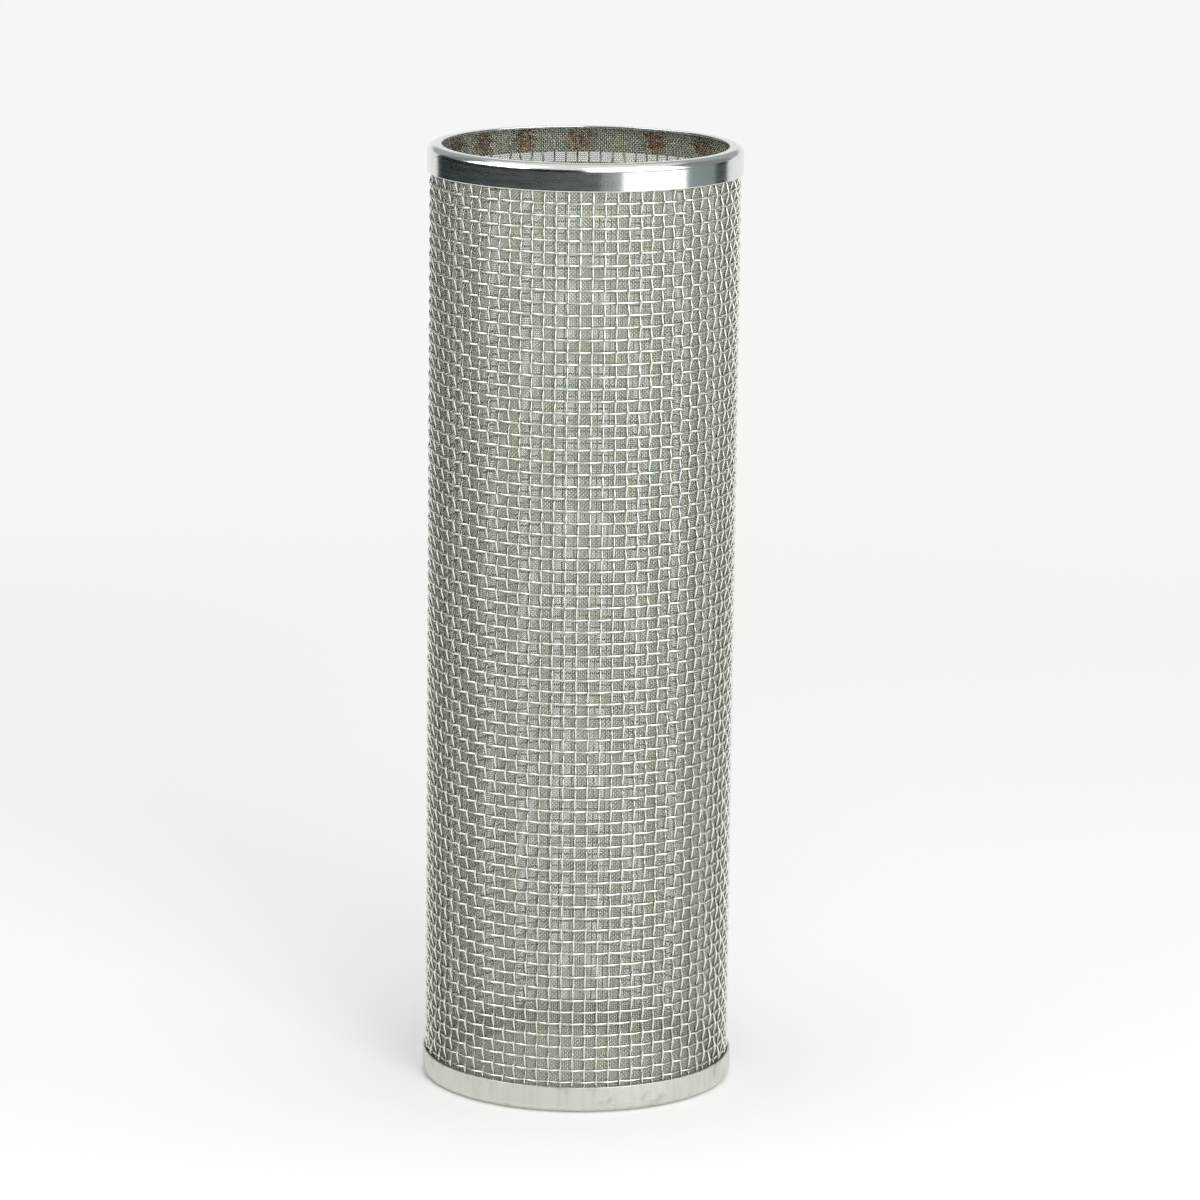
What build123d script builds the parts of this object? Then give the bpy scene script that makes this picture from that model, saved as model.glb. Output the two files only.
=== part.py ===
"""A strainer screen: a stiff woven tube with a fine woven sleeve inside, between two pressed end rings.

The screen stands upright on its lower ring. Z is its axis and Z = 0 is the face that it stands on.
Lengths are in millimetres.
"""

from build123d import *
from math import cos, floor, pi, sin, sqrt, tan
import os

# End rings: both are the same pressing, a skirt with a lip turned inwards over a rounded shoulder
overall_length = 250.0
ring_diameter = 82.5
ring_height = 7.0
lip_width = 3.75
ring_sheet = 0.6
shoulder_radius = 2.0

# Coarse plain weave that carries the load
support_wire = 0.55
support_pitch = 3.175

# Fine plain weave that does the straining
filter_wire = 0.2

# Play left between pieces that are spot-welded together
seam_gap = 0.05

# The coarse weave as one wall: ridges both ways, with a sunk pocket in every cell between them
ridge_pitch = 9.1
ridge_width = 1.3
pocket_floor = 0.3
gap_every_columns = 2
gap_every_rows = 7

# The opening that the lip leaves
opening_diameter = ring_diameter - 2 * lip_width

# Coarse wall, fitted inside the skirts
wall_outer_radius = ring_diameter / 2 - ring_sheet - seam_gap
wall_inner_radius = wall_outer_radius - 2 * support_wire
wall_length = overall_length - 2 * shoulder_radius

# An even number of flats goes round, as a plain weave needs, and the cells are as high as they are wide
columns = 2 * round(pi * wall_outer_radius / ridge_pitch)
half_turn = pi / columns
flat_distance = wall_outer_radius * cos(half_turn)
cell = 2 * wall_outer_radius * sin(half_turn)
rows = floor((overall_length - 2 * ring_height) / cell) + 1
pocket_depth = flat_distance - wall_inner_radius - pocket_floor

# A gap is one true opening of the coarse weave
aperture = support_pitch - support_wire

# Fine sleeve, fitted inside the coarse wall and between the two lips
sleeve_outer_radius = wall_inner_radius - seam_gap
sleeve_inner_radius = sleeve_outer_radius - 2 * filter_wire
sleeve_length = overall_length - 2 * (ring_sheet + seam_gap)


def end_ring():
    """The pressed ring with its lip on top, the lip's upper face at Z = 0."""
    outer = ring_diameter / 2
    inner = outer - ring_sheet
    lip_edge = opening_diameter / 2
    bend = shoulder_radius - ring_sheet
    with BuildPart() as ring:
        with BuildSketch(Plane.XZ) as section:
            with BuildLine():
                Polyline(
                    (outer, -ring_height),
                    (outer, 0),
                    (lip_edge, 0),
                    (lip_edge, -ring_sheet),
                    (inner, -ring_sheet),
                    (inner, -ring_height),
                    close=True,
                )
            make_face()
            fillet(section.vertices().sort_by_distance((outer, 0))[0], shoulder_radius)
            # Inside, the bend is one flat that keeps the sheet's thickness at its middle
            corner = section.vertices().sort_by_distance((inner, -ring_sheet))[0]
            chamfer(corner, bend * (2 - sqrt(2)))
        revolve(axis=Axis.Z)
    return ring.part


def plain_column():
    """One flat of the coarse wall before its pockets, from one upright ridge to the next."""
    inner_half = wall_inner_radius * tan(half_turn)
    outer_half = cell / 2
    section = Polyline(
        (wall_inner_radius, -inner_half),
        (flat_distance, -outer_half),
        (flat_distance, outer_half),
        (wall_inner_radius, inner_half),
        close=True,
    )
    return extrude(make_face(section), wall_length / 2, both=True)


def pocket():
    """The sunk cell between four ridges, which narrows towards its floor as the ridges widen."""
    near = ridge_width / 2
    far = cell - ridge_width / 2
    hollow = Wedge(
        cell, pocket_depth, cell, near, near, far, far,
        align=(Align.CENTER, Align.MIN, Align.CENTER),
    )
    return Pos(flat_distance, 0, 0) * Rot(0, 0, 90) * hollow


def gap():
    """One square opening right through the wall."""
    return Pos(flat_distance, 0, 0) * Box(4 * support_wire + 2 * pocket_depth, aperture, aperture)


def has_gap(column, row):
    """Gaps are staggered from column to column, and none lies in the end rows that the skirts cover."""
    if column % gap_every_columns or not 0 < row < rows - 1:
        return False
    stagger = (column // gap_every_columns % 2) * gap_every_rows // 2
    return (row + stagger) % gap_every_rows == gap_every_rows // 2


def wall_column(index):
    """A flat of the wall with its pockets and its gaps, turned to its place."""
    cuts = []
    for row in range(rows):
        height = Pos(0, 0, (row - (rows - 1) / 2) * cell)
        cuts.append(height * pocket())
        if has_gap(index, row):
            cuts.append(height * gap())
    flat = plain_column() - cuts
    return Rot(0, 0, index * 360 / columns) * flat


def coarse_wall():
    """All the flats joined to one closed tube, at half height on Z = 0."""
    first, *others = [wall_column(index) for index in range(columns)]
    return first.fuse(*others)


def fine_sleeve():
    """The straining mesh as a plain thin sleeve, at half height on Z = 0."""
    return Cylinder(sleeve_outer_radius, sleeve_length) - Cylinder(sleeve_inner_radius, sleeve_length)


def build():
    """Every piece in its place, by its name."""
    mid_height = Pos(0, 0, overall_length / 2)
    upper = end_ring()
    return {
        "top_ring": Pos(0, 0, overall_length) * upper,
        "bottom_ring": mirror(upper, about=Plane.XY),
        "support_mesh": mid_height * coarse_wall(),
        "filter_mesh": mid_height * fine_sleeve(),
    }


os.makedirs("parts", exist_ok=True)
for name, piece in build().items():
    export_step(piece, f"parts/{name}.step")
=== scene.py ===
"""The strainer screen dressed for its picture: crimped wires, a fine cloth and two pressed rings.

Every mesh is in metres in the frame of the loaded part. Z is the screen's axis, and it stands on
Z = 0.
"""
import logging
from dataclasses import dataclass, field
from enum import Enum
from math import asin, cos, pi, radians, sin, tau
from typing import TypeAlias, Union

import bmesh
import bpy
from mathutils import Matrix, Vector


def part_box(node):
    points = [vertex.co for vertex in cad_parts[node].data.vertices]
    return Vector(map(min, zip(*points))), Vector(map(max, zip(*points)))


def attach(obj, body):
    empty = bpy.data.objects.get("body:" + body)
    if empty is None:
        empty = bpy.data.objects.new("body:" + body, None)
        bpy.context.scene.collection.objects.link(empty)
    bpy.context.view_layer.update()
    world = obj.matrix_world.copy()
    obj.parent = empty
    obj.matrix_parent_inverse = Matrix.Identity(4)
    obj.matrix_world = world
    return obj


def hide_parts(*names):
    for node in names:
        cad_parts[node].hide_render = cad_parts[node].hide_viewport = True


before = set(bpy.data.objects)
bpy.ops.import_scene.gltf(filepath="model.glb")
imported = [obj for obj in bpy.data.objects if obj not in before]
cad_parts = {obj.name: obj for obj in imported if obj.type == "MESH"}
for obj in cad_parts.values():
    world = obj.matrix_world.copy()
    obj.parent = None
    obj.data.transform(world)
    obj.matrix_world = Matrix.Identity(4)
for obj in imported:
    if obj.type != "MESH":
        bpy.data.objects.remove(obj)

log = logging.getLogger("strainer_screen")

MM = 0.001
BODY = "root"

# Places and sizes that the frame gives, in metres
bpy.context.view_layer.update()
RING_LOW, RING_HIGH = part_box("top_ring")
RING_RADIUS = RING_HIGH[0]
RING_HEIGHT = RING_HIGH[2] - RING_LOW[2]
LENGTH = RING_HIGH[2]

Colour: TypeAlias = tuple[float, float, float]
Band: TypeAlias = tuple[float, float]
Value: TypeAlias = Union[float, tuple, "Signal", bpy.types.NodeSocket, bpy.types.Material, None]


@dataclass(frozen=True)
class Grain:
    """A noise pattern: its features a metre, its finer layers and how strong those are."""

    per_metre: float
    layers: float = 2.0
    strength: float = 0.5


class Signal:
    """One number in a node tree. An expression on signals adds its Math nodes."""

    def __init__(self, graph: "Graph", socket: bpy.types.NodeSocket) -> None:
        """Wraps an output socket of the graph."""
        self.graph = graph
        self.socket = socket

    def math(self, operation: str, *others: "Signal | float") -> "Signal":
        """Adds one Math node.

        Args:
            operation: The Math node's operation, such as FLOOR or MAXIMUM.
            others: Its second and third number, where it has them.

        Returns:
            The node's result.
        """
        return self.graph.math(operation, self, *others)

    def __add__(self, other: "Signal | float") -> "Signal":
        """Sum."""
        return self.math("ADD", other)

    def __radd__(self, other: float) -> "Signal":
        """Sum with a number on the left."""
        return self.math("ADD", other)

    def __sub__(self, other: "Signal | float") -> "Signal":
        """Difference."""
        return self.math("SUBTRACT", other)

    def __rsub__(self, other: float) -> "Signal":
        """Difference from a number on the left."""
        return self.graph.math("SUBTRACT", other, self)

    def __mul__(self, other: "Signal | float") -> "Signal":
        """Product."""
        return self.math("MULTIPLY", other)

    def __rmul__(self, other: float) -> "Signal":
        """Product with a number on the left."""
        return self.math("MULTIPLY", other)

    def __truediv__(self, other: "Signal | float") -> "Signal":
        """Quotient."""
        return self.math("DIVIDE", other)


class Graph:
    """Builds one node tree, a material's or a geometry's."""

    def __init__(self, tree: bpy.types.NodeTree) -> None:
        """Empties the tree, so that only what is added here is in it."""
        self.tree = tree
        tree.nodes.clear()

    def add(self, kind: str, settings: dict | None = None,
            values: dict | None = None) -> bpy.types.Node:
        """Adds a node.

        Args:
            kind: The node's type.
            settings: Its own properties, set before its sockets.
            values: Numbers or links for its inputs, by name, identifier or place.

        Returns:
            The new node.
        """
        node = self.tree.nodes.new(kind)
        for name, value in (settings or {}).items():
            setattr(node, name, value)
        for key, value in (values or {}).items():
            self.feed(self._input(node, key), value)
        return node

    def feed(self, socket: bpy.types.NodeSocket, value: Value) -> None:
        """Links a value to a socket, or sets the socket to it where it is plain.

        Args:
            socket: The input that takes the value.
            value: A number, a colour, a material, or an output to link.
        """
        if isinstance(value, Signal):
            value = value.socket
        if isinstance(value, bpy.types.NodeSocket):
            self.tree.links.new(value, socket)
        else:
            socket.default_value = value

    def math(self, operation: str, *values: "Signal | float") -> Signal:
        """Adds one Math node.

        Args:
            operation: The node's operation.
            values: Its numbers, in order.

        Returns:
            The node's result.
        """
        node = self.add("ShaderNodeMath", {"operation": operation}, dict(enumerate(values)))
        return Signal(self, node.outputs[0])

    def out(self, kind: str, settings: dict | None = None, values: dict | None = None,
            output: str | int = 0) -> Signal:
        """Adds a node as add() does, and gives one of its outputs.

        Args:
            kind: The node's type.
            settings: Its own properties.
            values: Numbers or links for its inputs.
            output: The output's name or place.

        Returns:
            That output.
        """
        return Signal(self, self.add(kind, settings, values).outputs[output])

    def split(self, vector: Signal) -> tuple[Signal, Signal, Signal]:
        """A vector's three numbers."""
        node = self.add("ShaderNodeSeparateXYZ", values={0: vector})
        return tuple(Signal(self, output) for output in node.outputs)

    def join(self, x: Value, y: Value, z: Value) -> Signal:
        """A vector made of three numbers."""
        return self.out("ShaderNodeCombineXYZ", values={0: x, 1: y, 2: z})

    def step(self, value: Signal, low: float, high: float) -> Signal:
        """Smooth change from 0 at low to 1 at high.

        Args:
            value: The number that is judged.
            low: Where the result is 0.
            high: Where the result is 1.

        Returns:
            The result, which stays from 0 to 1.
        """
        return self.out("ShaderNodeMapRange", {"interpolation_type": "SMOOTHSTEP"},
                        {"Value": value, "From Min": low, "From Max": high})

    def blend(self, share: Value, first: Value, second: Value) -> Signal:
        """Mix of two colours.

        Args:
            share: How much of the second colour there is.
            first: Colour at 0.
            second: Colour at 1.

        Returns:
            The mixed colour.
        """
        colours = {"A_Color": self._colour(first), "B_Color": self._colour(second)}
        return self.out("ShaderNodeMix", {"data_type": "RGBA"}, {"Factor_Float": share, **colours}, output=2)

    def noise(self, where: Signal, grain: Grain) -> Signal:
        """Noise from 0 to 1.

        Args:
            where: The place that is looked up.
            grain: The pattern.

        Returns:
            The noise.
        """
        values = {"Scale": grain.per_metre, "Detail": grain.layers, "Roughness": grain.strength}
        return self.out("ShaderNodeTexNoise", values={"Vector": where, **values})

    @staticmethod
    def _colour(value: Value) -> Value:
        """A plain colour with its fourth number."""
        return (*value, 1.0) if isinstance(value, tuple) and len(value) == 3 else value

    @staticmethod
    def _input(node: bpy.types.Node, key: str | int) -> bpy.types.NodeSocket:
        """Finds an input.

        Args:
            node: The node that has it.
            key: Its place, identifier or name.

        Returns:
            The input.
        """
        if isinstance(key, int):
            return node.inputs[key]
        for socket in node.inputs:
            if socket.identifier == key:
                return socket
        return next(s for s in node.inputs if s.name == key and s.enabled)


class Surface(Graph):
    """A material's node tree, with the object's own coordinates at hand."""

    def __init__(self, name: str) -> None:
        """Makes the material and its Object coordinates.

        Args:
            name: The material's name.
        """
        self.material = bpy.data.materials.new(name)
        self.material.use_nodes = True
        super().__init__(self.material.node_tree)
        self.place = self.out("ShaderNodeTexCoord", output="Object")
        self.x, self.y, self.z = self.split(self.place)

    def turn(self) -> Signal:
        """The angle round the screen's axis, in radians."""
        return self.y.math("ARCTAN2", self.x)

    def radius(self) -> Signal:
        """The distance from the screen's axis."""
        return (self.x * self.x + self.y * self.y).math("SQRT")

    def finish(self, **values: Value) -> bpy.types.Material:
        """Adds the metal shader and the output.

        Args:
            values: The shader's inputs, with underscores for the spaces of their names.

        Returns:
            The finished material.
        """
        inputs = {name.replace("_", " "): self._colour(value) for name, value in values.items()}
        shader = self.add("ShaderNodeBsdfPrincipled", values=inputs)
        self.add("ShaderNodeOutputMaterial", values={"Surface": shader.outputs[0]})
        return self.material

    def bump(self, height: Signal, distance: float) -> Signal:
        """A normal that follows a height at its full slope.

        Args:
            height: The height.
            distance: How many metres one unit of height stands for.

        Returns:
            The normal.
        """
        values = {"Height": height, "Distance": distance, "Strength": 1.0}
        return self.out("ShaderNodeBump", values=values)


class Polish(Enum):
    """How a ring was finished: buffed bright, or left satin from the press."""

    BRIGHT = "bright"
    SATIN = "satin"


@dataclass(frozen=True)
class RingSteel:
    """Pressed stainless sheet with fine marks that run round the ring.

    A stretch is the share of a pattern's pace that is left along the marks, and a band is where a
    change starts and ends.
    """

    polish: Polish
    colour: Colour
    roughness: float
    mark_depth: float
    stain: float
    cloud: float = 0.0
    press_line: float = 0.0
    stain_colour: Colour = (0.36, 0.30, 0.21)
    cloud_colour: Colour = (0.52, 0.55, 0.50)
    marks: Grain = Grain(1600.0, 3.0, 0.6)
    mark_stretch: float = 0.03
    mark_roughness: float = 0.08
    dents: Grain = Grain(60.0, 3.0)
    dent_depth: float = 0.1
    dent_roughness: float = 0.04
    blots: Grain = Grain(240.0, 4.0, 0.6)
    blot_share: float = 0.6
    stain_band: Band = (0.53, 0.66)
    streaks: Grain = Grain(700.0, 4.0, 0.7)
    streak_stretch: float = 0.12
    streak_band: Band = (0.42, 0.7)
    line_band: Band = (0.05 * MM, 0.3 * MM)
    line_gap_band: Band = (0.4, 0.55)

    def material(self) -> bpy.types.Material:
        """Builds the finish.

        Returns:
            The finished material.
        """
        surface = Surface(f"ring_steel_{self.polish.value}")
        x, y = surface.x * self.mark_stretch, surface.y * self.mark_stretch
        marks = surface.noise(surface.join(x, y, surface.z - surface.radius()), self.marks)
        dents = surface.noise(surface.place, self.dents)
        blots = surface.noise(surface.place, self.blots)
        mixed = dents * (1.0 - self.blot_share) + blots * self.blot_share
        tint = surface.step(mixed, *self.stain_band) * self.stain
        plain = surface.blend(self._cloudy(surface, dents), self.colour, self.cloud_colour)
        height = marks * self.mark_depth + dents * self.dent_depth
        return surface.finish(
            Base_Color=surface.blend(tint, plain, self.stain_colour),
            Metallic=1.0,
            Roughness=self.roughness + marks * self.mark_roughness + dents * self.dent_roughness,
            Normal=surface.bump(height, MM),
        )

    def _cloudy(self, surface: Surface, dents: Signal) -> Signal:
        """Where the sheet is clouded: in upright streaks, and in a broken line that the press left.

        Args:
            surface: The material that it is built in.
            dents: The slow noise that breaks the line.

        Returns:
            How much of the cloud's colour there is.
        """
        upright = surface.join(surface.x, surface.y, surface.z * self.streak_stretch)
        streaks = surface.step(surface.noise(upright, self.streaks), *self.streak_band)
        off_line = (surface.z - self.press_line).math("ABSOLUTE")
        unbroken = surface.step(dents, *self.line_gap_band)
        line = (1.0 - surface.step(off_line, *self.line_band)) * unbroken
        return streaks.math("MAXIMUM", line) * self.cloud


@dataclass(frozen=True)
class WireSteel:
    """Bright drawn wire, duller where the loom marked it, and painted brown-black deep down in the weave as
    shade.
    """

    colour: Colour = (0.82, 0.84, 0.78)
    dull_colour: Colour = (0.60, 0.62, 0.55)
    # Painted shade: the brown-black that the wires take deep down in the weave.
    deep_shade_colour: Colour = (0.17, 0.14, 0.10)
    roughness: float = 0.17
    patches: Grain = Grain(900.0, 3.0)
    patch_band: Band = (0.5, 0.75)
    patch_dullness: float = 0.5
    patch_roughness: float = 0.1
    scratches: Grain = Grain(9000.0)
    scratch_depth: float = 0.01 * MM

    def material(self, unshaded_radius: float, shaded_radius: float) -> bpy.types.Material:
        """Builds the finish.

        Args:
            unshaded_radius: Distance from the axis from which the wires carry no painted shade.
            shaded_radius: Distance from the axis up to which they are painted brown-black as shade.

        Returns:
            The finished material.
        """
        surface = Surface("coarse_wire_steel")
        patches = surface.noise(surface.place, self.patches)
        dull = surface.step(patches, *self.patch_band) * self.patch_dullness
        drawn = surface.blend(dull, self.colour, self.dull_colour)
        # Painted shade: the colour turns brown-black towards the axis, deep in the weave where wires pass
        # under others.
        unshaded = surface.step(surface.radius(), shaded_radius, unshaded_radius)
        scratches = surface.noise(surface.place, self.scratches)
        return surface.finish(
            Base_Color=surface.blend(unshaded, self.deep_shade_colour, drawn),
            Metallic=1.0,
            Roughness=self.roughness + patches * self.patch_roughness,
            Normal=surface.bump(scratches, self.scratch_depth),
        )


@dataclass(frozen=True)
class FineCloth:
    """Fine plain weave as a thin see-through sheet, tinted round each spot weld of the upper ring,
    with painted shade in the crevices between its wires and on the level wires where they lie on top.

    A band is where a change starts and ends. That of the painted shade is a share of the wire's height.
    """

    wires_round: int
    pitch: float
    wire: float
    weld_spots: tuple[Vector, ...]
    colour: Colour = (0.88, 0.98, 0.81)
    warm_colour: Colour = (0.94, 0.96, 0.77)
    # Painted shade: the dark colour of the crevices between the fine wires.
    crevice_shade_colour: Colour = (0.07, 0.085, 0.065)
    scale_colour: Colour = (0.11, 0.055, 0.025)
    rust_colour: Colour = (0.62, 0.27, 0.09)
    core_colour: Colour = (0.16, 0.19, 0.22)
    roughness: float = 0.3
    metallic: float = 0.42
    # Painted shade: the first darkens the level wires where they lie on top; the band below sets where the
    # crevices darken.
    level_shade: float = 0.4
    unshaded_band: Band = (0.1, 0.9)
    drift: Grain = Grain(260.0)
    drift_band: Band = (0.35, 0.65)
    mottle: Grain = Grain(700.0, 4.0, 0.75)
    mottle_reach: float = 14.0 * MM
    speckle: Grain = Grain(1900.0)
    speckle_band: Band = (0.3, 0.55)
    scale_band: Band = (2.0 * MM, 4.6 * MM)
    rust_band: Band = (0.4, 0.6)
    core_band: Band = (0.2 * MM, 0.9 * MM)
    core_share: float = 0.5

    def material(self) -> bpy.types.Material:
        """Builds the finish.

        Returns:
            The finished material.
        """
        surface = Surface("fine_wire_cloth")
        across = surface.turn() * (self.wires_round / tau)
        along = surface.z / self.pitch
        share = self.wire / self.pitch
        upright, upright_height = self._wires(surface, across, along, share, 1.0)
        level, level_height = self._wires(surface, along, across, share, -1.0)
        height = upright_height.math("MAXIMUM", level_height)
        low, high = self.unshaded_band
        # Painted shade: low parts of the weave take the crevice colour, and level wires lying on top are
        # darkened.
        unshaded_share = surface.step(height, low * share, high * share)
        unshaded_share = unshaded_share * (1.0 - level_height.math("GREATER_THAN", upright_height) * self.level_shade)
        drift = surface.step(surface.noise(surface.place, self.drift), *self.drift_band)
        wires = surface.blend(drift, self.colour, self.warm_colour)
        shaded_metal = surface.blend(unshaded_share, self.crevice_shade_colour, wires)
        return surface.finish(
            Base_Color=self._welded(surface, unshaded_share, shaded_metal),
            Metallic=self.metallic,
            Roughness=self.roughness,
            Alpha=upright.math("MAXIMUM", level),
            Normal=surface.bump(height * self.pitch, 1.0),
        )

    def _welded(self, surface: Surface, unshaded_share: Signal, shaded_metal: Signal) -> Signal:
        """The cloth's colour with the heat tints: scale and rust round a grey core at each weld.

        Args:
            surface: The material that it is built in.
            unshaded_share: How free of painted shade the cloth is, from 0 in the crevices to 1 where the
                wires stand proud.
            shaded_metal: The cloth's colour with its painted shade, without tints.

        Returns:
            The tinted colour.
        """
        mottle = surface.noise(surface.place, self.mottle)
        speckle = surface.noise(surface.place, self.speckle)
        spread = self._weld_distance(surface) + (mottle - 0.5) * self.mottle_reach
        speckled = surface.step(speckle, *self.speckle_band)
        scale = (1.0 - surface.step(spread, *self.scale_band)) * speckled
        core = (1.0 - surface.step(spread, *self.core_band)) * self.core_share
        rusty = surface.step(mottle, *self.rust_band)
        oxide = surface.blend(rusty, self.scale_colour, self.rust_colour)
        # The painted-shade mask also splits the tint: dark scale in the crevices, oxide on the proud wires.
        tinted = surface.blend(scale, shaded_metal, surface.blend(unshaded_share, self.scale_colour, oxide))
        return surface.blend(core, tinted, self.core_colour)

    @staticmethod
    def _wires(surface: Surface, across: Signal, along: Signal, share: float,
               side: float) -> tuple[Signal, Signal]:
        """One of the cloth's two wire directions.

        Args:
            surface: The material that it is built in.
            across: Count of wires crossed, whole on a wire's centreline.
            along: The same count for the wires of the other direction.
            share: The wire's thickness as a share of the pitch.
            side: 1 or -1, which way a wire starts over or under.

        Returns:
            Where the wires are, 0 or 1, and their height in pitches, far down where there are none.
        """
        nearest = across.math("ROUND")
        offset = (across - nearest).math("ABSOLUTE")
        here = offset.math("LESS_THAN", share / 2)
        rise = ((share / 2) ** 2 - offset * offset).math("MAXIMUM", 0.0).math("SQRT")
        crimp = ((along + nearest) * pi).math("COSINE") * (side * share / 2)
        return here, rise + crimp + here - 1.0

    def _weld_distance(self, surface: Surface) -> Signal:
        """The distance to the nearest spot weld.

        Args:
            surface: The material that it is built in.

        Returns:
            The distance in metres.
        """
        nearest = None
        for spot in self.weld_spots:
            values = {0: surface.place, 1: tuple(spot)}
            gap = surface.out("ShaderNodeVectorMath", {"operation": "DISTANCE"}, values, output="Value")
            nearest = gap if nearest is None else nearest.math("MINIMUM", gap)
        return nearest


def place_piece(piece: bpy.types.Object, slot: str, *nodes: str) -> None:
    """Rides a piece on the body, hides the nodes that it replaces and logs its triangle count.

    Args:
        piece: The finished piece.
        slot: Not used.
        nodes: The nodes that it replaces.
    """
    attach(piece, BODY)
    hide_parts(*nodes)
    triangles = sum(len(polygon.vertices) - 2 for polygon in piece.data.polygons)
    log.info("%s: %d triangles", piece.name, triangles)


def new_object(name: str, mesh: bpy.types.Mesh) -> bpy.types.Object:
    """Links a mesh to the scene as an object at the origin.

    Args:
        name: The new object's name.
        mesh: Its mesh.

    Returns:
        The new object.
    """
    piece = bpy.data.objects.new(name, mesh)
    bpy.context.scene.collection.objects.link(piece)
    return piece


def revolve(name: str, profile: list[tuple[float, float]], turns: int,
            material: bpy.types.Material) -> bpy.types.Object:
    """A closed profile turned once round the Z axis.

    Args:
        name: The new object's name.
        profile: Radius and height of its corners, in order round the section.
        turns: How many steps go round.
        material: Its finish.

    Returns:
        The new object, smooth and with its faces outwards.
    """
    shape = bmesh.new()
    loops = []
    for step in range(turns):
        angle = tau * step / turns
        loops.append([shape.verts.new((r * cos(angle), r * sin(angle), z)) for r, z in profile])
    for here, there in zip(loops, loops[1:] + loops[:1]):
        for a in range(len(profile)):
            b = (a + 1) % len(profile)
            shape.faces.new((here[a], here[b], there[b], there[a])).smooth = True
    bmesh.ops.recalc_face_normals(shape, faces=shape.faces)
    mesh = bpy.data.meshes.new(name)
    shape.to_mesh(mesh)
    shape.free()
    mesh.materials.append(material)
    return new_object(name, mesh)


def arc(centre: tuple[float, float], radius: float, start: float, end: float,
        steps: int) -> list[tuple[float, float]]:
    """Points of a rounded corner.

    Args:
        centre: The arc's centre, as radius and height.
        radius: The arc's radius.
        start: First angle, in degrees from outwards towards up.
        end: Last angle.
        steps: How many spans the arc has.

    Returns:
        The points, both ends among them.
    """
    angles = [radians(start + (end - start) * i / steps) for i in range(steps + 1)]
    return [(centre[0] + radius * cos(a), centre[1] + radius * sin(a)) for a in angles]


@dataclass
class EndRing:
    """A pressed ring: a skirt, a rounded shoulder and a lip turned inwards."""

    steel: RingSteel
    sheet: float = 0.6 * MM
    shoulder: float = 2.0 * MM
    lip_width: float = 3.75 * MM
    edge: float = 0.12 * MM
    edge_steps: int = 3
    shoulder_steps: int = 14
    bend_steps: int = 8
    flat_margin: float = 0.15 * MM
    turns: int = 320

    def build(self, name: str, lip_height: float, up: bool) -> None:
        """Makes the ring and puts it in the place of its node.

        Args:
            name: The node's name, which the piece takes with a word added.
            lip_height: Height of the lip's outer face.
            up: True where the lip is the ring's upper side.
        """
        side = 1.0 if up else -1.0
        profile = [(r, lip_height + side * z) for r, z in self._section()]
        piece = revolve(f"{name}_pressing", profile, self.turns, self.steel.material())
        place_piece(piece, "ring_steel", name)

    def _section(self) -> list[tuple[float, float]]:
        """The section with its lip's outer face at height 0.

        Returns:
            Radius and height of its corners, from the skirt's outer foot upwards and round.
        """
        outer, inner = RING_RADIUS, RING_RADIUS - self.sheet
        lip = outer - self.lip_width
        foot = -RING_HEIGHT
        turn_centre = (outer - self.shoulder, -self.shoulder)
        e, m, n = self.edge, self.flat_margin, self.edge_steps
        return [
            *arc((outer - e, foot + e), e, -90, 0, n),
            (outer, foot + e + m),
            (outer, -self.shoulder - m),
            *arc(turn_centre, self.shoulder, 0, 90, self.shoulder_steps),
            (outer - self.shoulder - m, 0),
            (lip + e + m, 0),
            *arc((lip + e, -e), e, 90, 180, n),
            *arc((lip + e, -self.sheet + e), e, 180, 270, n),
            (lip + e + m, -self.sheet),
            (outer - self.shoulder - m, -self.sheet),
            *arc(turn_centre, self.shoulder - self.sheet, 90, 0, self.bend_steps),
            (inner, -self.shoulder - m),
            (inner, foot + e + m),
            *arc((inner + e, foot + e), e, 180, 270, n),
        ]


class WireRun(Enum):
    """Which way a set of coarse wires runs."""

    UPRIGHT = "upright"
    HOOP = "hoop"


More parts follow.
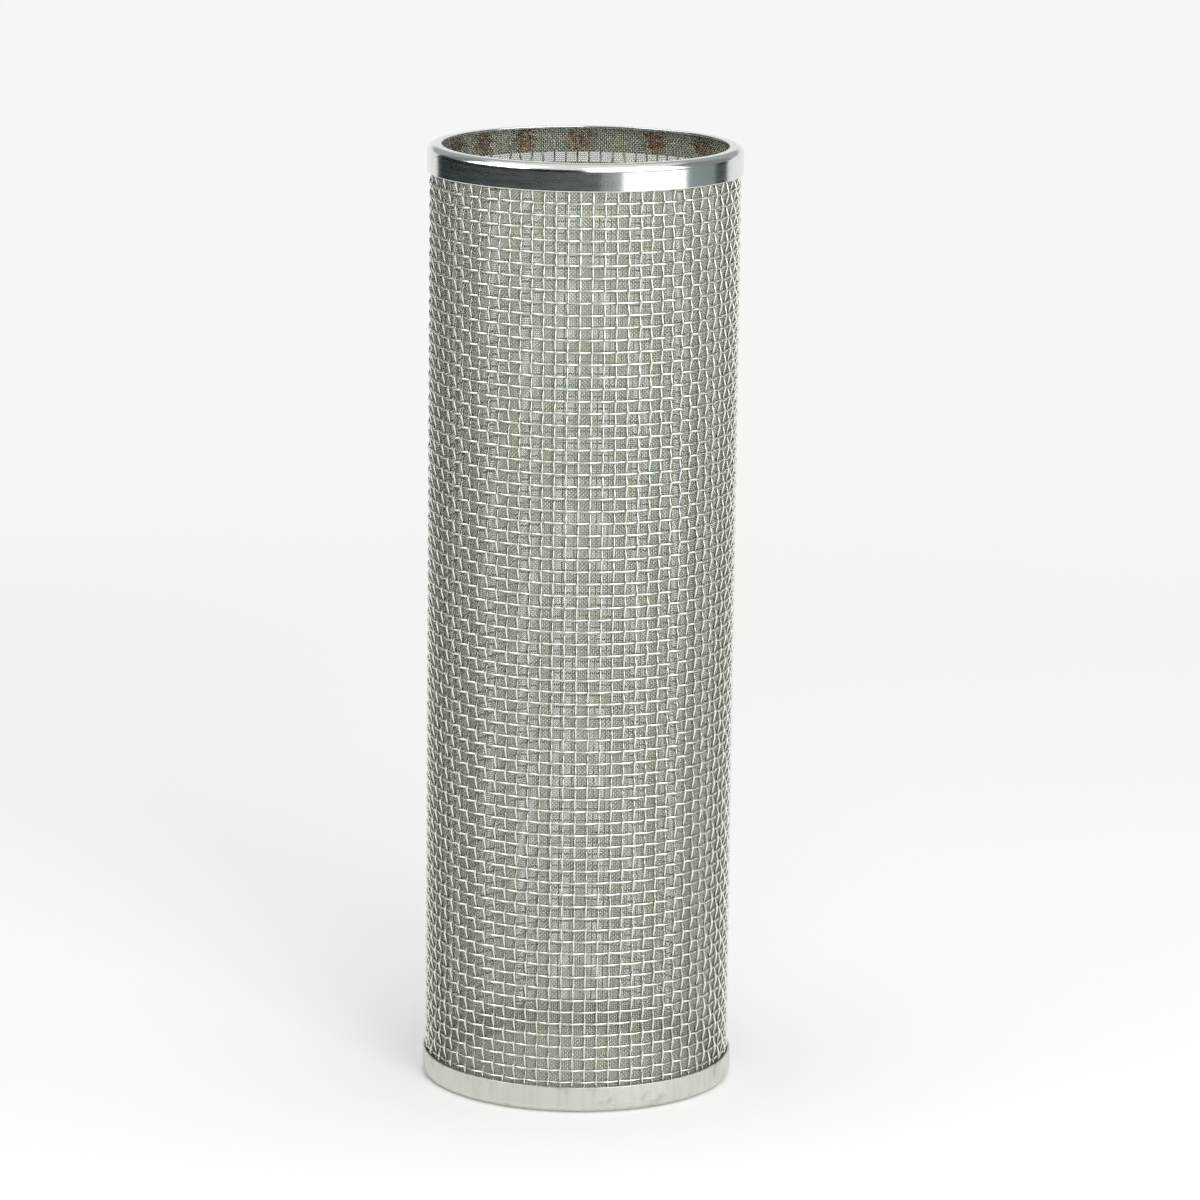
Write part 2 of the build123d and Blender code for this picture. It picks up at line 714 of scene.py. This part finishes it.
@dataclass
class CoarseWeave:
    """The plain weave of stiff wires that carries the load, each bent over and under the others."""

    steel: WireSteel
    wires_round: int = 80
    pitch: float = 3.175 * MM
    wire: float = 0.6 * MM
    ring_sheet: float = 0.6 * MM
    first_hoop: float = 4.855 * MM
    first_upright: float = radians(-86.7)
    steps_per_pitch: int = 4
    sides: int = 6
    upright_share: float = 0.57
    knuckle_crowding: float = 0.25
    knuckle_sharpness: float = 0.7
    # Painted shade on the wires: none above the mid radius plus the first size below, full at the mid radius
    # less the second.
    unshaded_rise: float = 0.15 * MM
    shade_depth: float = 0.45 * MM
    end_margin: float = 2.2 * MM
    wander: float = 0.22 * MM
    wander_per_metre: float = 28.0
    seed: float = 4.0
    hoops: int = field(init=False)
    mid_radius: float = field(init=False)

    def __post_init__(self) -> None:
        """Works out the sizes that follow from the ring."""
        self.mid_radius = RING_RADIUS - self.ring_sheet - self.wire * (self.upright_share + 0.5)
        self.hoops = int((LENGTH - self.end_margin - self.first_hoop) / self.pitch) + 1

    def build(self) -> None:
        """Makes four sets of wires: both directions, each as the two halves that lie over in turn."""
        # Radii between which the wires' painted shade fades in.
        unshaded, shaded = self.mid_radius + self.unshaded_rise, self.mid_radius - self.shade_depth
        material = self.steel.material(unshaded, shaded)
        for run in WireRun:
            tree = self._tree(run)
            total = self.wires_round if run is WireRun.UPRIGHT else self.hoops
            for parity in (0, 1):
                count = (total + 1 - parity) // 2
                piece = self._evaluate(tree, f"{run.value}_wires_{parity + 1}", count, parity, material)
                place_piece(piece, "coarse_wire", "support_mesh")

    def _evaluate(self, tree: bpy.types.NodeTree, name: str, count: int, parity: int,
                  material: bpy.types.Material) -> bpy.types.Object:
        """Runs the tree once and keeps its result as a plain mesh.

        Args:
            tree: The tree for this direction.
            name: The new object's name.
            count: How many wires the set has.
            parity: 0 for the first wire and every second one from it, 1 for the others.
            material: The wires' finish.

        Returns:
            The new object.
        """
        seed_mesh = bpy.data.meshes.new(name)
        piece = new_object(name, seed_mesh)
        modifier = piece.modifiers.new("wires", "NODES")
        modifier.node_group = tree
        values = {"Wires": count, "Parity": parity, "Material": material}
        for item in tree.interface.items_tree:
            if item.in_out == "INPUT" and item.name in values:
                modifier[item.identifier] = values[item.name]
        graph = bpy.context.evaluated_depsgraph_get()
        mesh = bpy.data.meshes.new_from_object(piece.evaluated_get(graph))
        piece.modifiers.clear()
        piece.data = mesh
        mesh.name = name
        bpy.data.meshes.remove(seed_mesh)
        return piece

    def _tree(self, run: WireRun) -> bpy.types.NodeTree:
        """The geometry tree for one direction.

        Args:
            run: Which way its wires run.

        Returns:
            The tree.
        """
        tree = bpy.data.node_groups.new(f"{run.value}_wires", "GeometryNodeTree")
        graph = Graph(tree)
        inputs = [
            ("Wires", "Int", 1), ("Parity", "Int", 0), ("Pitch", "Float", self.pitch),
            ("Mid Radius", "Float", self.mid_radius), ("Wire Radius", "Float", self.wire / 2),
            ("Sides", "Int", self.sides), ("Steps Per Pitch", "Int", self.steps_per_pitch),
            ("Wander", "Float", self.wander), ("Material", "Material", None),
        ]
        for name, kind, value in inputs:
            kind = f"NodeSocket{kind}"
            item = tree.interface.new_socket(name=name, in_out="INPUT", socket_type=kind)
            if value is not None:
                item.default_value = value
        geometry = "NodeSocketGeometry"
        tree.interface.new_socket(name="Geometry", in_out="OUTPUT", socket_type=geometry)
        entry = graph.add("NodeGroupInput")
        given = {name: Signal(graph, entry.outputs[name]) for name, _, _ in inputs}
        index = graph.out("GeometryNodeInputIndex")
        wire = (self._upright if run is WireRun.UPRIGHT else self._hoop)(graph, given, index)
        values = {"Resolution": given["Sides"], "Radius": given["Wire Radius"]}
        section = graph.out("GeometryNodeCurvePrimitiveCircle", values=values)
        values = {"Curve": wire, "Profile Curve": section, "Fill Caps": True}
        solid = graph.out("GeometryNodeCurveToMesh", values=values)
        which = index * 2.0 + given["Parity"]
        points = graph.out("GeometryNodePoints", values={"Count": given["Wires"]})
        values = {"Instance": solid}
        if run is WireRun.UPRIGHT:
            values["Rotation"] = graph.join(0.0, 0.0, which * (tau / self.wires_round))
        else:
            lift = {"Offset": graph.join(0.0, 0.0, which * given["Pitch"])}
            points = graph.out("GeometryNodeSetPosition", values={"Geometry": points, **lift})
        values["Points"] = points
        copies = graph.out("GeometryNodeInstanceOnPoints", values=values)
        real = graph.out("GeometryNodeRealizeInstances", values={"Geometry": copies})
        loose = self._wandered(graph, given, real)
        smooth = graph.out("GeometryNodeSetShadeSmooth", values={"Geometry": loose})
        values = {"Geometry": smooth, "Material": given["Material"]}
        dressed = graph.out("GeometryNodeSetMaterial", values=values)
        graph.add("NodeGroupOutput", values={0: dressed})
        return tree

    def _crowded(self, count: Signal) -> Signal:
        """Moves the steps along a wire closer to the crossings, which lie at whole pitches."""
        return count - (count * tau).math("SINE") * (self.knuckle_crowding / tau)

    def _crimp(self, count: Signal) -> Signal:
        """How far a wire stands off the middle, from -1 to 1, with straight flanks."""
        bent = ((count * pi).math("COSINE") * self.knuckle_sharpness).math("ARCSINE")
        return bent / asin(self.knuckle_sharpness)

    def _upright(self, graph: Graph, given: dict[str, Signal], index: Signal) -> Signal:
        """One upright wire at angle 0.

        Args:
            graph: The tree that it is built in.
            given: The tree's inputs.
            index: The step's number along the wire.

        Returns:
            The wire's centreline.
        """
        steps = self.steps_per_pitch
        low = -int((self.first_hoop - self.end_margin) / self.pitch * steps)
        high = int((LENGTH - self.end_margin - self.first_hoop) / self.pitch * steps)
        line = graph.out("GeometryNodeCurvePrimitiveLine", values={"End": (0.0, 0.0, 1.0)})
        line = graph.out("GeometryNodeResampleCurve", values={"Curve": line, "Count": high - low + 1})
        count = self._crowded((index + low) / given["Steps Per Pitch"])
        lift = self._crimp(count + given["Parity"]) * (self.wire * self.upright_share)
        radius = given["Mid Radius"] + lift
        place = graph.join(radius * cos(self.first_upright), radius * sin(self.first_upright),
                           count * given["Pitch"] + self.first_hoop)
        return graph.out("GeometryNodeSetPosition", values={"Geometry": line, "Position": place})

    def _hoop(self, graph: Graph, given: dict[str, Signal], index: Signal) -> Signal:
        """One hoop at the height of the first.

        Args:
            graph: The tree that it is built in.
            given: The tree's inputs.
            index: The step's number round the hoop.

        Returns:
            The wire's centreline.
        """
        steps = given["Steps Per Pitch"] * float(self.wires_round)
        ring = graph.out("GeometryNodeCurvePrimitiveCircle", values={"Resolution": steps})
        count = self._crowded(index / given["Steps Per Pitch"])
        lift = self._crimp(count + given["Parity"]) * (self.wire * (1.0 - self.upright_share))
        radius = given["Mid Radius"] - lift
        angle = count * (tau / self.wires_round) + self.first_upright
        place = graph.join(radius * angle.math("COSINE"), radius * angle.math("SINE"), self.first_hoop)
        return graph.out("GeometryNodeSetPosition", values={"Geometry": ring, "Position": place})

    def _wandered(self, graph: Graph, given: dict[str, Signal], cloth: Signal) -> Signal:
        """Lets the weave drift a little sideways and up, as one cloth, off a perfect grid.

        Args:
            graph: The tree that it is built in.
            given: The tree's inputs.
            cloth: The wires.

        Returns:
            The wires, at the same distance from the axis as before.
        """
        place = graph.out("GeometryNodeInputPosition")
        values = {"Vector": place, "W": self.seed, "Scale": self.wander_per_metre, "Detail": 1.0}
        drift = graph.add("ShaderNodeTexNoise", {"noise_dimensions": "4D"}, values).outputs["Color"]
        sideways, upwards, _ = graph.split(Signal(graph, drift))
        angle = (sideways - 0.5) * given["Wander"] * (2.0 / self.mid_radius)
        values = {"Vector": place, "Angle": angle}
        turned = graph.out("ShaderNodeVectorRotate", {"rotation_type": "Z_AXIS"}, values)
        lift = graph.join(0.0, 0.0, (upwards - 0.5) * given["Wander"] * 2.0)
        values = {"Geometry": cloth, "Position": turned, "Offset": lift}
        return graph.out("GeometryNodeSetPosition", values=values)


@dataclass
class FineSleeve:
    """The straining cloth, a thin tube just inside the coarse weave, spot-welded to both rings."""

    wires_round: int = 480
    pitch: float = 3.175 * MM / 6
    wire: float = 0.2 * MM
    mid_radius: float = 39.25 * MM
    thickness: float = 0.04 * MM
    end_gap: float = 0.65 * MM
    turns: int = 240
    weld_below_top: float = 3.6 * MM
    weld_angles: tuple[float, ...] = (37.9, 62.7, 92.1, 115.5, 133.2, 150.8)
    hidden_welds: int = 8

    def build(self) -> None:
        """Makes the sleeve and puts it in the place of its node."""
        low, high = self.end_gap, LENGTH - self.end_gap
        inner = self.mid_radius - self.thickness / 2
        outer = inner + self.thickness
        profile = [(outer, low), (outer, high), (inner, high), (inner, low)]
        cloth = FineCloth(self.wires_round, self.pitch, self.wire, self._weld_spots())
        piece = revolve("fine_cloth", profile, self.turns, cloth.material())
        for edge in piece.data.edges:
            heights = {round(piece.data.vertices[v].co.z, 6) for v in edge.vertices}
            edge.use_edge_sharp = len(heights) == 1
        place_piece(piece, "fine_wire", "filter_mesh")

    def _weld_spots(self) -> tuple[Vector, ...]:
        """The spot welds under the upper ring: those in view, and the rest evenly round the front.

        Returns:
            Their places.
        """
        last, first = self.weld_angles[-1], self.weld_angles[0] + 360.0
        gap = (first - last) / (self.hidden_welds + 1)
        angles = [*self.weld_angles, *(last + gap * (i + 1) for i in range(self.hidden_welds))]
        start = Vector((self.mid_radius, 0.0, LENGTH - self.weld_below_top))
        return tuple(Matrix.Rotation(radians(angle), 3, "Z") @ start for angle in angles)


def around(azimuth: float, distance: float, height: float) -> Vector:
    """A point round the screen. Azimuth 0 is at the camera's side and 90 at its right."""
    angle = radians(azimuth)
    return Vector((distance * sin(angle), -distance * cos(angle), height))


@dataclass(frozen=True)
class Card:
    """A curved card round the screen that only gloss sees, between two azimuths in degrees."""

    name: str
    start: float
    end: float
    low: float
    high: float
    colour: Colour
    distance: float = 1.2
    steps: int = 24

    def build(self) -> None:
        """Makes the card, which only gloss rays see."""
        shape = bmesh.new()
        columns = []
        for i in range(self.steps + 1):
            azimuth = self.start + (self.end - self.start) * i / self.steps
            ends = (around(azimuth, self.distance, z) for z in (self.low, self.high))
            columns.append([shape.verts.new(end) for end in ends])
        for here, there in zip(columns, columns[1:]):
            shape.faces.new((here[0], there[0], there[1], here[1]))
        mesh = bpy.data.meshes.new(self.name)
        shape.to_mesh(mesh)
        shape.free()
        surface = Surface(self.name)
        glow = surface.add("ShaderNodeEmission", values={"Color": (*self.colour, 1.0)})
        surface.add("ShaderNodeOutputMaterial", values={"Surface": glow.outputs[0]})
        mesh.materials.append(surface.material)
        card = new_object(self.name, mesh)
        card.visible_camera = card.visible_diffuse = card.visible_shadow = False
        card.visible_transmission = False


@dataclass(frozen=True)
class SoftLamp:
    """A flat soft lamp. One that stands faces the middle of the screen, and one that hangs shines down."""

    name: str
    width: float
    height: float
    strength: float
    place: Vector
    hangs: bool = False

    def build(self) -> None:
        """Makes the lamp, whose face is as bright as its strength, with 1 as white."""
        data = bpy.data.lights.new(self.name, "AREA")
        data.shape, data.size, data.size_y = "RECTANGLE", self.width, self.height
        data.energy = self.strength * pi * self.width * self.height
        lamp = bpy.data.objects.new(self.name, data)
        lamp.location = self.place
        if not self.hangs:
            towards = Vector((-self.place.x, -self.place.y, LENGTH / 2 - self.place.z))
            lamp.rotation_euler = towards.to_track_quat("-Z", "Y").to_euler()
        lamp.visible_camera = lamp.visible_glossy = False
        bpy.context.scene.collection.objects.link(lamp)


@dataclass
class Studio:
    """Floor, backdrop colour, lamps, and the cards that the bright metal mirrors."""

    floor_radius: float = 0.95
    floor_fade: float = 0.6
    floor_sides: int = 96
    floor_colour: Colour = (0.93, 0.93, 0.922)
    backdrop: Colour = (0.925, 0.925, 0.918)
    fill: float = 0.81
    cards: tuple[Card, ...] = (
        Card("low_room_card", -134.0, 12.0, 0.0, 0.32, (0.012, 0.022, 0.022)),
        Card("middle_room_card", -134.0, 2.0, 0.32, 0.66, (0.012, 0.022, 0.022)),
        Card("front_room_card", -44.0, 2.0, 0.66, 0.9, (0.02, 0.025, 0.025)),
        Card("grey_card", 12.0, 27.0, 0.0, 0.14, (0.25, 0.27, 0.27), distance=1.1),
        Card("right_grey_card", 77.0, 108.0, 0.0, 0.4, (0.24, 0.28, 0.28)),
        Card("right_dark_card", 108.0, 124.0, 0.0, 0.4, (0.03, 0.04, 0.04)),
        Card("left_light_card", -98.0, -44.0, 0.66, 2.5, (4.0, 4.0, 3.85)),
        Card("right_light_card", 18.0, 77.0, 0.0, 0.14, (2.2, 2.2, 2.2)),
        Card("right_gap_card", 12.0, 77.0, 0.14, 0.32, (0.03, 0.035, 0.035)),
        Card("high_right_card", 2.0, 77.0, 0.32, 2.5, (3.2, 3.2, 3.2)),
        Card("left_room_card", -134.0, -98.0, 0.66, 1.7, (0.22, 0.24, 0.23)),
        Card("back_left_card", -180.0, -134.0, 0.5, 1.7, (0.4, 0.42, 0.41)),
        Card("right_room_card", 77.0, 134.0, 0.4, 1.7, (0.25, 0.26, 0.26)),
        Card("back_right_card", 134.0, 180.0, 0.5, 1.7, (0.4, 0.42, 0.41)),
    )
    lamps: tuple[SoftLamp, ...] = (
        SoftLamp("right_lamp", 0.5, 0.3, 31.0, around(25.0, 1.3, 0.21)),
        SoftLamp("left_lamp", 0.5, 0.4, 0.5, around(-70.0, 1.3, 0.3)),
        SoftLamp("top_lamp", 0.8, 0.8, 1.0, Vector((0.0, 0.0, 1.5)), hangs=True),
        SoftLamp("front_lamp", 0.6, 0.6, 2.4, around(4.0, 1.2, 1.1)),
    )

    def build(self) -> None:
        """Makes everything round the screen."""
        self._world()
        self._floor()
        for thing in (*self.lamps, *self.cards):
            thing.build()

    def _world(self) -> None:
        """Pale where the camera, gloss or see-through surfaces look, and a plain fill for the rest."""
        world = bpy.data.worlds.new("studio")
        bpy.context.scene.world = world
        world.use_nodes = True
        graph = Graph(world.node_tree)
        rays = graph.add("ShaderNodeLightPath")
        seen = Signal(graph, rays.outputs["Is Camera Ray"])
        for name in ("Is Glossy Ray", "Is Transmission Ray"):
            seen = seen.math("MAXIMUM", Signal(graph, rays.outputs[name]))
        values = {"Color": (*self.backdrop, 1.0), "Strength": 1.0}
        pale = graph.add("ShaderNodeBackground", values=values)
        values = {"Color": (1.0, 1.0, 1.0, 1.0), "Strength": self.fill}
        fill = graph.add("ShaderNodeBackground", values=values)
        values = {0: seen, 1: fill.outputs[0], 2: pale.outputs[0]}
        mixed = graph.add("ShaderNodeMixShader", values=values)
        graph.add("ShaderNodeOutputWorld", values={"Surface": mixed.outputs[0]})

    def _floor(self) -> None:
        """A pale disc that fades into the backdrop."""
        surface = Surface("pale_floor")
        start = self.floor_radius - self.floor_fade
        fade = surface.step(surface.radius(), start, self.floor_radius)
        plain = surface.add("ShaderNodeBsdfDiffuse", values={"Color": (*self.floor_colour, 1.0)})
        clear = surface.add("ShaderNodeBsdfTransparent")
        values = {0: fade, 1: plain.outputs[0], 2: clear.outputs[0]}
        mixed = surface.add("ShaderNodeMixShader", values=values)
        surface.add("ShaderNodeOutputMaterial", values={"Surface": mixed.outputs[0]})
        shape = bmesh.new()
        sides, radius = self.floor_sides, self.floor_radius
        bmesh.ops.create_circle(shape, cap_ends=True, segments=sides, radius=radius)
        mesh = bpy.data.meshes.new("floor")
        shape.to_mesh(mesh)
        shape.free()
        mesh.materials.append(surface.material)
        new_object("floor", mesh)


@dataclass
class PhotoCamera:
    """The camera, fitted to the rims of the screen in the photograph."""

    frame_pixels: float = 1200.0
    focal_pixels: float = 5722.0
    sensor_width: float = 36.0
    nearest: float = 0.05
    farthest: float = 50.0
    aside: float = 0.00507
    distance: float = 1.4803
    height: float = 0.4411
    pitch: float = radians(11.91)
    roll: float = radians(0.66)

    def build(self) -> None:
        """Makes the camera and hands it to the scene."""
        data = bpy.data.cameras.new("photo_camera")
        data.sensor_width = self.sensor_width
        data.lens = self.focal_pixels / self.frame_pixels * self.sensor_width
        data.clip_start, data.clip_end = self.nearest, self.farthest
        forward = Vector((0.0, cos(self.pitch), -sin(self.pitch)))
        up = Vector((0.0, sin(self.pitch), cos(self.pitch)))
        right = Vector((1.0, 0.0, 0.0))
        level = right * cos(self.roll) + up * sin(self.roll)
        upright = up * cos(self.roll) - right * sin(self.roll)
        axes = Matrix((level, upright, -forward)).transposed()
        camera = bpy.data.objects.new("photo_camera", data)
        place = Matrix.Translation((self.aside, -self.distance, self.height))
        camera.matrix_world = place @ axes.to_4x4()
        bpy.context.scene.collection.objects.link(camera)
        bpy.context.scene.camera = camera


def main() -> None:
    """Builds the camera, the studio and the dressed screen."""
    logging.basicConfig(level=logging.INFO, format="%(name)s: %(message)s")
    bpy.context.scene.view_settings.view_transform = "Standard"
    PhotoCamera().build()
    Studio().build()
    bright = RingSteel(
        Polish.BRIGHT, colour=(0.75, 0.785, 0.76), roughness=0.1, mark_depth=0.003, stain=0.1)
    satin = RingSteel(
        Polish.SATIN, colour=(0.69, 0.71, 0.65), roughness=0.28, mark_depth=0.012, stain=0.45,
        cloud=0.4, press_line=2.1 * MM)
    EndRing(bright).build("top_ring", LENGTH, up=True)
    EndRing(satin).build("bottom_ring", 0.0, up=False)
    CoarseWeave(WireSteel()).build()
    FineSleeve().build()


if __name__ == "__main__":
    main()
